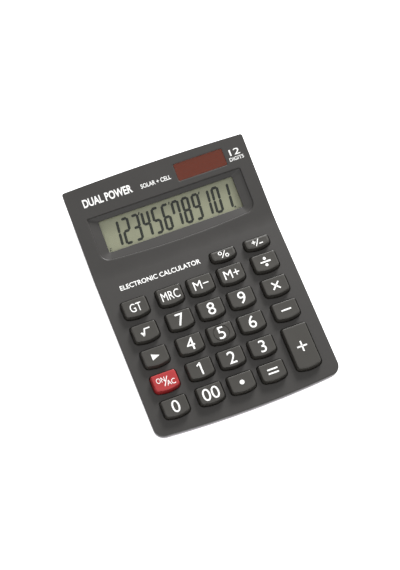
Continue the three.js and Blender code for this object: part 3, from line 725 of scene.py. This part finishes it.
def makeSolarPocket():
    grow = solarPocket["edgeRound"] + solarPocket["shoulder"]
    half, corner = (solarHigh - solarLow) / 2 + grow, solarPocket["corner"]
    pocket = plate(half, solarFront - grow, solarRear + grow, corner, corner)
    stepFace(solarPocket["shoulder"], -solarPocket["shoulderDrop"])
    roundEdge(solarPocket["edgeRound"], -solarPocket["edgeRound"], True)
    stepFace(0, solarPocket["edgeRound"] + solarPocket["shoulderDrop"] - solarPocket["depth"])
    stepFace(solarPocket["ledge"], 0)
    stepFace(0, solarPocket["depth"] - upperCase["wall"])
    dropFace()
    pocket.data.transform(Matrix.Translation(((solarLow + solarHigh) / 2, 0, 0)))
    return pocket


def makeRim():
    top = upperCase["skirt"]
    rim = plate(caseHalf, deckFront, deckRear, upperCase["frontRound"], upperCase["rearRound"],
                upperCase["frontBow"], upperCase["rearBow"], z=-top)
    stepFace(0, top - upperCase["edgeRound"])
    roundEdge(upperCase["edgeRound"], upperCase["edgeRound"], False, 5)
    dropFace()
    pick(rim, "FACE", lambda c, n: abs(c.z + top) < near)
    middle = (0, (deckFront + deckRear) / 2)
    half = shrinkFace((caseHalf, (deckRear - deckFront) / 2), upperCase["lipGap"], 0, middle)
    stepFace(0, -upperCase["lipReach"])
    shrinkFace(half, upperCase["lipWall"], 0, middle)
    stepFace(0, upperCase["lipReach"] + top - upperCase["wall"])
    dropFace()
    for vert in rim.data.vertices:     # outer walls stand upright once their deck is tilted
        vert.co.y += vert.co.z * math.tan(keyTilt if vert.co.y < 0 else displayTilt)
    return rim


def bend(point):        # from the flat plate to the two decks, with a soft crease
    reach = upperCase["blend"]
    share = min(max((point.y + reach) / (2 * reach), 0), 1)
    if share in (0, 1):
        deck = displayDeck if share else keyDeck
        return deck @ point
    start = keyDeck @ Vector((point.x, -reach, 0))
    end = displayDeck @ Vector((point.x, reach, 0))
    middle = Vector((point.x, crease.y, crease.z))
    along = start.lerp(middle, share).lerp(middle.lerp(end, share), share)
    return along + keyNormal.slerp(displayNormal, share) * point.z


shell = makeRim()
shell = joinInto(shell, [keyHole(spot) for spot in keyPlaces.values()] + [makeRecess(), makeSolarPocket()])
for level in (0, -upperCase["wall"]):
    pick(shell, "EDGE", lambda c, d: abs(c.z - level) < near)
    bpy.ops.mesh.fill(use_beauty=True)
pick(shell, "FACE", lambda c, n: True)
for row in range(upperCase["blendRows"] + 1):
    place = upperCase["blend"] * (2 * row / upperCase["blendRows"] - 1)
    bpy.ops.mesh.select_all(action="SELECT")
    bpy.ops.mesh.bisect(plane_co=(0, place, 0), plane_no=(0, 1, 0))
leaveEdit()
for vert in shell.data.vertices:
    vert.co = bend(vert.co)
outwards(shell)
smooth(shell, upperCase["smoothAngle"])
loose = sum(1 for edge in shell.data.edges if edge.is_loose)
settle(shell, "upper_shell", "housing", "dark_abs")
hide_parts("upper_case")
print("upper shell made:", len(shell.data.polygons), "faces, loose edges", loose)


# Printing on the case

casePrint = [   # words, height, middle on the deck, width, stroke weight, deck
    ("DUAL POWER", 4.8, (-30.0, 41.2), 28.5, 0.28, displayDeck),
    ("SOLAR + CELL", 2.5, (-2.0, 40.2), 17.6, 0.16, displayDeck),
    ("12", 3.6, (45.5, 42.1), 6.0, 0.05, displayDeck),
    ("DIGITS", 2.1, (45.5, 38.3), 8.4, 0.12, displayDeck),
    ("ELECTRONIC CALCULATOR", 2.8, (-18.3, -10.0), 46.6, 0.14, keyDeck),
]
printThick = 0.02
for body, height, at, width, weight, deck in casePrint:
    label = words(body, height, at, 0.0, width, weight, printThick)
    settle(label, "print_" + body.split()[0].lower(), "housing", "dark_abs", deck, printInk)
print("case printed")


# Liquid crystal digits

crystal = {
    "pitch": 5.93, "half": 1.62, "tall": 13.7, "strokeHalf": 0.74, "gap": 0.12, "roundShare": 0.95,
    "slant": 5.5, "firstX": -32.55, "foot": 13.4, "thick": 0.06, "flagAt": (-37.8, -0.6), "flagTall": 2.4,
    "shown": "123'456'789'101.",
}
crystalMarks = {    # half length, half width, place beside the digit's middle, and turn
    "'": (0.35, 0.75, (2.9, 13.8), -0.3),
    ".": (0.45, 0.45, (2.9, -0.1), 0),
}
segmentsOf = {
    "0": "abcdef", "1": "bc", "2": "abged", "3": "abgcd", "4": "fgbc", "5": "afgcd", "6": "afgedc",
    "7": "fabc", "8": "abcdefg", "9": "abcdfg",
}


def bar(half, at, upright):
    stroke = crystal["strokeHalf"]
    turn = math.pi / 2 if upright else 0
    return slab(half, stroke, at, turn, crystal["thick"], stroke * crystal["roundShare"])


def digitBars(digit, x):
    half, tall = crystal["half"], crystal["tall"]
    upright = (tall / 2 - crystal["gap"]) / 2
    level = half - crystal["gap"] / 2
    layout = {
        "a": (level, (0, tall), False), "g": (level, (0, tall / 2), False), "d": (level, (0, 0), False),
        "b": (upright, (half, tall * 0.75), True), "c": (upright, (half, tall * 0.25), True),
        "f": (upright, (-half, tall * 0.75), True), "e": (upright, (-half, tall * 0.25), True),
    }
    chosen = [layout[segment] for segment in segmentsOf[digit]]
    return [bar(reach, (x + at[0], at[1]), up) for reach, at, up in chosen]


bars = []
column = -1
for shown in crystal["shown"]:
    if shown not in crystalMarks:
        column += 1
    x = crystal["firstX"] + column * crystal["pitch"]
    if shown in crystalMarks:
        half, deep, aside, turn = crystalMarks[shown]
        bars.append(slab(half, deep, (x + aside[0], aside[1]), turn, crystal["thick"]))
    else:
        bars += digitBars(shown, x)
flag = words("E", crystal["flagTall"], crystal["flagAt"], 0, thick=printThick)
digits = joinInto(bars[0], bars[1:] + [flag])
lcdTop = span("lcd_panel", displayNormal)[1] - crease.dot(displayNormal)
digits.data.transform(Matrix.Translation((0, crystal["foot"], lcdTop)))
lean = math.tan(math.radians(crystal["slant"]))
for vert in digits.data.vertices:
    vert.co.x += (vert.co.y - crystal["foot"]) * lean
settle(digits, "lcd_digits", "housing", "lcd_glass", displayDeck, segmentInk)
print("digits shown")


# Solar cover

solarCover = {"corner": 0.9, "edgeRound": 0.12}
coverFoot, coverTop = (reach - crease.dot(displayNormal) for reach in span("solar_window", displayNormal))
cover = plate((solarHigh - solarLow) / 2, solarFront, solarRear, solarCover["corner"],
              solarCover["corner"], z=coverFoot)
stepFace(0, coverTop - coverFoot - solarCover["edgeRound"])
roundEdge(solarCover["edgeRound"], solarCover["edgeRound"], False, 2)
outwards(cover)
cover.data.transform(Matrix.Translation(((solarLow + solarHigh) / 2, 0, 0)))
smooth(cover)
settle(cover, "solar_cover", "housing", "red_window", displayDeck)
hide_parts("solar_window")
print("solar cover made")


# Lower case: a solid tub less a smaller one, then built up inside, with the door cut free of it

lowerCase = {
    "inset": 0.3, "gap": 2.3, "band": 2.5, "bandLeast": 0.1, "sideTaper": 0.25, "endTaper": 0.1,
    "belly": 4.0, "bellyRise": 5.0, "bellySteps": 6, "wall": 1.8, "floor": 1.6,
    "standoff": 3.2, "standoffRise": 3.2, "root": 0.5,
    "headHeight": 1.0, "headHole": 2.4, "shankHole": 1.3, "boreRise": 5,
    "bayWall": 1.2, "bayTop": 13.9, "clearance": 0.3,
    "panel": (23.0, -14.0, 10.0),       # the rating plate's seat: half width, front and rear
    "panelDeep": 0.25,
}
batteryDoor = {
    "hookReach": 3.5, "hookHalf": 2.5, "hookAt": (-14.0, 14.0), "hookThick": 1.0,
    "rootReach": 2.0, "rootDown": 0.8, "rootUp": 0.5,
    "ridges": 6, "ridgeFrom": 7.0, "ridgeHalf": 9.0, "ridgeGap": 1.7, "ridgeDeep": 0.35,
    "arrow": 1.9, "arrowFrom": 3.6,
}
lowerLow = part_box("lower_case")[0].z / millimetre
lowerInside = lowerLow + lowerCase["floor"]


def rimAt(y):
    return max(crease.z + (y - crease.y) * math.tan(tilt) - lowerCase["gap"] / math.cos(tilt)
               for tilt in (keyTilt, displayTilt))


def makeTub(inset, low, above):      # rings up its belly, a band foot and a rim that follows the decks
    steps = lowerCase["bellySteps"]
    turns = [math.pi / 2 * step / steps for step in range(steps + 1)]
    belly = [(lowerCase["belly"] * (1 - math.sin(a)), low + lowerCase["bellyRise"] * (1 - math.cos(a)))
             for a in turns]
    half, front, rear = caseHalf - inset, caseLow.y + inset, caseHigh.y - inset
    tub = plate(half, front, rear, upperCase["frontRound"], upperCase["rearRound"],
                upperCase["frontBow"], upperCase["rearBow"])
    for level in range(steps + 2):
        stepFace(0, 1)
    bpy.ops.mesh.select_all(action="SELECT")
    bpy.ops.mesh.bisect(plane_co=(0, crease.y, 0), plane_no=(0, 1, 0))
    leaveEdit()
    middle, reach = (front + rear) / 2, (rear - front) / 2
    for vert in tub.data.vertices:
        level = round(vert.co.z)
        rim = rimAt(vert.co.y)
        pull, z = belly[level] if level <= steps else (0, rim + above)
        if level == steps + 1:
            z = max(rim - lowerCase["band"], belly[-1][1] + lowerCase["bandLeast"])
        slack = max(0, rim - lowerCase["band"] - z)
        vert.co.x *= (half - pull - slack * lowerCase["sideTaper"]) / half
        vert.co.y = middle + (vert.co.y - middle) * (reach - pull - slack * lowerCase["endTaper"]) / reach
        vert.co.z = z
    outwards(tub)
    return tub


def makeStandoffs(mass):
    top = lowerInside + lowerCase["standoffRise"]
    posts = [drum(lowerCase["standoff"], bayFloor, top, spot) for spot in screwSpots]
    joinInto(posts[0], posts[1:])
    cutWith(posts[0], mass, "INTERSECT")
    return posts[0]


def nodesOf(prefix):
    nodes = [part["node"] for part in frame["record"]["subparts"]]
    return [node for node in nodes if node.startswith(prefix)]


screwSpots = [middleOf(*boxOf(node)) for node in nodesOf("case_screw")]
bayFloor = lowerInside - lowerCase["root"]
doorLow, doorHigh = boxOf("battery_door")
doorFront = doorLow.y + batteryDoor["hookReach"]
bayHalf = boxOf("battery_contact_plus")[1].x + lowerCase["clearance"]
bayFront = doorFront - 2 * lowerCase["clearance"]

sleeve = makeTub(lowerCase["inset"], lowerLow, 0)
standoffs = makeStandoffs(copyOf(sleeve, "mass"))
cutWith(sleeve, makeTub(lowerCase["inset"] + lowerCase["wall"], lowerInside, beyond))
door = copyOf(sleeve, "door")
region = brick((-doorHigh.x, doorFront, -beyond), (doorHigh.x, caseHigh.y + beyond, doorHigh.z))
cutWith(door, region, "INTERSECT")

cutWith(sleeve, standoffs, "UNION")
bayBack = bayFront - lowerCase["bayWall"]
bayOuter = bayHalf + lowerCase["bayWall"]
cellRear = boxOf("battery_cell")[1].y
for low, high in (((-bayOuter, bayBack, bayFloor), (bayOuter, bayFront, lowerCase["bayTop"])),
                  ((-bayOuter, bayBack, bayFloor), (-bayHalf, cellRear, lowerCase["bayTop"])),
                  ((bayHalf, bayBack, bayFloor), (bayOuter, cellRear, lowerCase["bayTop"]))):
    cutWith(sleeve, brick(low, high), "UNION")
gap = lowerCase["clearance"]
mouth = brick((-doorHigh.x - gap, doorFront - gap, -beyond),
              (doorHigh.x + gap, caseHigh.y + beyond, doorHigh.z + gap))
cutWith(sleeve, mouth)
hookLow = lowerInside + gap
hookHigh = hookLow + batteryDoor["hookThick"]
hookRoot = doorFront + batteryDoor["rootReach"]
for x in batteryDoor["hookAt"]:
    left, right = x - batteryDoor["hookHalf"], x + batteryDoor["hookHalf"]
    slot = brick((left - gap, doorLow.y - gap, hookLow - gap),
                 (right + gap, hookRoot, hookHigh + gap))
    cutWith(sleeve, slot)
    cutWith(door, brick((left, doorLow.y, hookLow), (right, hookRoot, hookHigh)), "UNION")
    root = brick((left, doorFront, hookLow - batteryDoor["rootDown"]),
                 (right, hookRoot, hookLow + batteryDoor["rootUp"]))
    cutWith(door, root, "UNION")
for spot, node in zip(screwSpots, nodesOf("case_screw")):
    seat = boxOf(node)[0].z + lowerCase["headHeight"] + gap
    cutWith(sleeve, drum(lowerCase["headHole"], -beyond, seat, spot, 32))
    cutWith(sleeve, drum(lowerCase["shankHole"], -beyond, seat + lowerCase["boreRise"], spot, 24))
for node in nodesOf("foot_"):
    low, high = boxOf(node)
    cutWith(sleeve, drum((high.x - low.x) / 2 + gap, -beyond, high.z + gap, middleOf(low, high)))
ridgeTop = lowerLow + batteryDoor["ridgeDeep"]
for ridge in range(batteryDoor["ridges"]):
    y = doorFront + batteryDoor["ridgeFrom"] + ridge * batteryDoor["ridgeGap"]
    half = batteryDoor["ridgeHalf"] * math.sin(math.pi * (ridge + 2) / (batteryDoor["ridges"] + 3))
    cutWith(door, brick((-half, y, -beyond), (half, y + batteryDoor["ridgeGap"] / 2, ridgeTop)))
arrowAt = (0, doorFront + batteryDoor["arrowFrom"])
cutWith(door, drum(batteryDoor["arrow"], -beyond, ridgeTop, arrowAt, 3))
panelHalf, panelFront, panelRear = lowerCase["panel"]
panelTop = lowerLow + lowerCase["panelDeep"]
cutWith(sleeve, brick((-panelHalf, panelFront, -beyond), (panelHalf, panelRear, panelTop)))
for piece, name, body, node in ((sleeve, "lower_shell", "housing", "lower_case"),
                                (door, "door_panel", "battery_door", "battery_door")):
    smooth(piece, upperCase["smoothAngle"])
    settle(piece, name, body, "grey_abs")
    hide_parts(node)
print("lower case made:", len(sleeve.data.polygons), "faces; door", len(door.data.polygons))


# Screws, feet and the battery

screw = {
    "headRound": 0.35, "disc": 0.02, "crossShare": 1.25 / 2.1, "crossDeep": 0.55, "crossWide": 0.42,
    "threadDeep": 0.18, "threadPitch": 0.7, "tipLong": 0.8, "tipShare": 0.6, "tipBand": 0.1, "boardHead": 0.8,
}
foot = {"edgeRound": 0.35, "grooveIn": 0.9, "grooveDeep": 0.2, "grooveSide": 0.2, "grooveWide": 0.5}
battery = {
    "labelFrom": 0.12, "bandTo": 0.72, "labelTo": 0.94,       # shares of the can's length
    "labelThick": 0.12, "labelRound": 0.05, "edgeRound": 0.6,
    "poleLong": 1.0, "poleSink": 0.2, "poleRadius": 2.75, "poleRound": 0.4,
}


def makeScrew(headRadius, headHeight, shankRadius, length):      # head down at z = 0, shank up
    piece = drum(headRadius - screw["headRound"], 0, screw["disc"], sides=40)
    pick(piece, "FACE", lambda c, n: n.z > 0.9)
    roundEdge(-screw["headRound"], screw["headRound"], True)
    stepFace(0, headHeight - screw["headRound"] - screw["disc"])
    stepFace(headRadius - shankRadius, 0)
    turns = int((length - headHeight - screw["tipLong"]) / screw["threadPitch"])
    for turn in range(turns):
        stepFace(screw["threadDeep"], screw["threadPitch"] / 2)
        stepFace(-screw["threadDeep"], screw["threadPitch"] / 2)
    stepFace(shankRadius * screw["tipShare"], length - headHeight - turns * screw["threadPitch"])
    outwards(piece)
    half, wide = screw["crossShare"] * headRadius, screw["crossWide"] / 2
    for x, y in ((half, wide), (wide, half)):
        cutWith(piece, brick((-x, -y, -beyond), (x, y, screw["crossDeep"])))
    return piece


def fitScrews(prefix, headHeight, deck):
    unturn = deck.inverted()
    model = None
    for node in nodesOf(prefix):
        points = [unturn @ (vert.co / millimetre) for vert in frame["nodes"][node].data.vertices]
        low, high = extent(points)
        if model is None:
            end = [point.x for point in points if point.z > high.z - screw["tipBand"]]
            model = makeScrew((high.x - low.x) / 2, headHeight, (max(end) - min(end)) / 2, high.z - low.z)
        piece = copyOf(model, node + "_turned")
        smooth(piece)
        place = deck @ Matrix.Translation((*middleOf(low, high), low.z))
        settle(piece, node + "_turned", "housing", "screw_steel", place)
        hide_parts(node)
    bpy.data.objects.remove(model)


fitScrews("case_screw", lowerCase["headHeight"], Matrix.Identity(4))
fitScrews("board_screw", screw["boardHead"], keyDeck)

for node in nodesOf("foot_"):
    low, high = boxOf(node)
    piece = drum((high.x - low.x) / 2, 0, high.z - low.z, sides=56)
    pick(piece, "FACE", lambda c, n: n.z < -0.9)
    bpy.ops.transform.translate(value=(0, 0, foot["edgeRound"]))
    roundEdge(foot["edgeRound"], -foot["edgeRound"], False)
    stepFace(foot["grooveIn"], 0)
    stepFace(foot["grooveSide"], foot["grooveDeep"])
    stepFace(foot["grooveWide"], 0)
    stepFace(foot["grooveSide"], -foot["grooveDeep"])
    outwards(piece)
    smooth(piece)
    settle(piece, node + "_pad", "housing", "foot_rubber", Matrix.Translation((*middleOf(low, high), low.z)))
    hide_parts(node)


def cellPiece(name, low, high, radius, edgeLow, edgeHigh, slotName, material=None):     # on the cell's axis
    piece = drum(radius, low, high, sides=64)
    for end, size in ((low, edgeLow), (high, edgeHigh)):
        if size:
            pick(piece, "EDGE", lambda c, d: abs(c.z - end) < near and abs(d.z) < 0.1)
            bpy.ops.mesh.bevel(offset=size, segments=4, profile=0.6)
    outwards(piece)
    smooth(piece)
    axis = Matrix.Translation((cellLow.x, (cellLow.y + cellHigh.y) / 2, (cellLow.z + cellHigh.z) / 2))
    settle(piece, name, "housing", slotName, axis @ Matrix.Rotation(math.pi / 2, 4, "Y"), material)
    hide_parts("battery_cell")


cellLow, cellHigh = boxOf("battery_cell")
cellLong = cellHigh.x - cellLow.x
cellRadius = (cellHigh.z - cellLow.z) / 2
canEnd = cellLong - battery["poleLong"]
labels = [battery[key] * canEnd for key in ("labelFrom", "bandTo", "labelTo")]
cellPiece("cell_can", 0, canEnd, cellRadius - battery["labelThick"], battery["edgeRound"],
          battery["edgeRound"], "nickel_plate")
cellPiece("cell_terminal", canEnd - battery["poleSink"], cellLong, battery["poleRadius"], 0,
          battery["poleRound"], "nickel_plate")
cellPiece("cell_label", labels[0], labels[1], cellRadius, battery["labelRound"], 0, "cell_label")
cellPiece("cell_band", labels[1], labels[2], cellRadius, 0, battery["labelRound"], "cell_label", cellCopper)
print("screws, feet and battery made")


# Rubber keypad: a sheet, and a dome under each key

keypad = {
    "sheet": 0.6, "sheetRound": 0.12, "roundAngle": 50, "corner": 1.5, "bossHole": 2.2, "notch": 3.5,
    "under": 6,         # about how far the sheet lies below the deck
    "foot": 2.9, "top": 2.2, "skirt": 0.35, "edgeRound": 0.25, "leanShares": (0.55, 0.3, 0.15),
    "dimple": 1.0, "dimpleSide": 0.2, "dimpleDeep": 0.15,
}
sheetFront, sheetRear = (reach - crease.dot(keySlope) for reach in span("rubber_keypad", keySlope))
padLow, padHigh = (reach - crease.dot(keyNormal) for reach in span("rubber_keypad", keyNormal))
sheetTop = padLow + keypad["sheet"]
domeTall = padHigh - sheetTop

sheet = plate(boxOf("rubber_keypad")[1].x, sheetFront, sheetRear, keypad["corner"], keypad["corner"],
              z=padLow)
stepFace(0, keypad["sheet"])
outwards(sheet)
toDeck = keyDeck.inverted()
for prefix, radius in (("board_screw", keypad["bossHole"]), ("case_screw", keypad["notch"])):
    for node in nodesOf(prefix):
        spot = toDeck @ Vector((*middleOf(*boxOf(node)), keyLevel - keypad["under"]))
        cutWith(sheet, drum(radius, padLow - beyond, padHigh + beyond, (spot.x, spot.y)))
modify(sheet, "BEVEL", width=keypad["sheetRound"], segments=2, limit_method="ANGLE",
       angle_limit=math.radians(keypad["roundAngle"]))
smooth(sheet)
settle(sheet, "keypad_sheet", "housing", "silicone_rubber", keyDeck)
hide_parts("rubber_keypad")

dome = drum(keypad["foot"], 0, keypad["skirt"], sides=36)
pick(dome, "FACE", lambda c, n: n.z > 0.9)
domeRise = domeTall - keypad["skirt"] - keypad["edgeRound"]
for share in keypad["leanShares"]:
    stepFace((keypad["foot"] - keypad["top"]) * share, domeRise * (1 - share) / 2)
roundEdge(keypad["edgeRound"], keypad["edgeRound"], False)
stepFace(keypad["dimple"] - keypad["dimpleSide"], 0)
stepFace(keypad["dimpleSide"], -keypad["dimpleDeep"])
outwards(dome)
for name, spot in keyPlaces.items():
    piece = copyOf(dome, name + "_dome")
    smooth(piece)
    place = keyDeckAt(spot) @ Matrix.Translation((0, 0, sheetTop))
    settle(piece, name + "_dome", "housing", "silicone_rubber", place)
    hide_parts("rubber_keypad")
    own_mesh(piece)
bpy.data.objects.remove(dome)
print("keypad made")


# Materials of the CAD nodes that stay

for part in frame["record"]["subparts"]:
    node = frame["nodes"][part["node"]]
    node.data.materials.clear()
    node.data.materials.append(slotMaterials[part["material_slot"]])


# Floor, light and camera

studio = {
    "lens": 115.765, "sensor": 36.0, "roll": 4.734, "from": (-0.17939, -0.36479, 0.92435),
    "aim": (-0.00016, 0.00052, 0.01512), "world": 0.58, "floorSize": 8, "floorGlow": 0.55, "floorCloud": 0.5,
}
lamps = {     # place, aim, size and power
    "rear_light": ((0.55, 0.75, 0.45), (0, 0, 0.01), (0.38, 0.28), 20.0),
    "front_light": ((-0.35, -0.75, 1.3), (0, 0, 0), (1.2, 1.2), 7.0),
}
white = (1, 1, 1, 1)


def paleFloor():
    # White painted studio floor with a slight tone, lit a little from within so that it stays even
    material, tree, output, place = newMaterial("pale_floor_paint")
    cloud = noise(tree, place, studio["floorCloud"], 2.0, 0.5)
    colour = mixInputs(tree, cloud, linear("#fafafa"), linear("#fdfdfd"))
    settings = {"Roughness": 0.9, "Specular IOR Level": 0.1, "Emission Color": white,
                "Emission Strength": studio["floorGlow"]}
    principled(tree, output, settings, {"Base Color": colour})
    return material


clear()
bpy.ops.mesh.primitive_plane_add(size=studio["floorSize"])
floor = bpy.context.object
floor.name = "floor"
floor.data.materials.append(paleFloor())

world = bpy.data.worlds.new("studio")
bpy.context.scene.world = world
world.use_nodes = True
sky = world.node_tree.nodes["Background"].inputs
sky["Color"].default_value = white
sky["Strength"].default_value = studio["world"]


def softLight(name, place, aim, size, power):
    lamp = bpy.data.lights.new(name, "AREA")
    lamp.shape = "RECTANGLE"
    lamp.size, lamp.size_y = size
    lamp.energy = power
    light = bpy.data.objects.new(name, lamp)
    bpy.context.scene.collection.objects.link(light)
    light.location = place
    light.rotation_euler = (Vector(aim) - Vector(place)).to_track_quat("-Z", "Y").to_euler()


for name, lamp in lamps.items():
    softLight(name, *lamp)

camera = bpy.data.objects.new("camera", bpy.data.cameras.new("camera"))
bpy.context.scene.collection.objects.link(camera)
camera.location = studio["from"]
view = Vector(studio["aim"]) - camera.location
turned = view.to_track_quat("-Z", "Y").to_matrix() @ Matrix.Rotation(math.radians(studio["roll"]), 3, "Z")
camera.rotation_euler = turned.to_euler()
camera.data.sensor_fit = "VERTICAL"
camera.data.sensor_height = studio["sensor"]
camera.data.lens = studio["lens"]
bpy.context.scene.camera = camera
print("studio set")
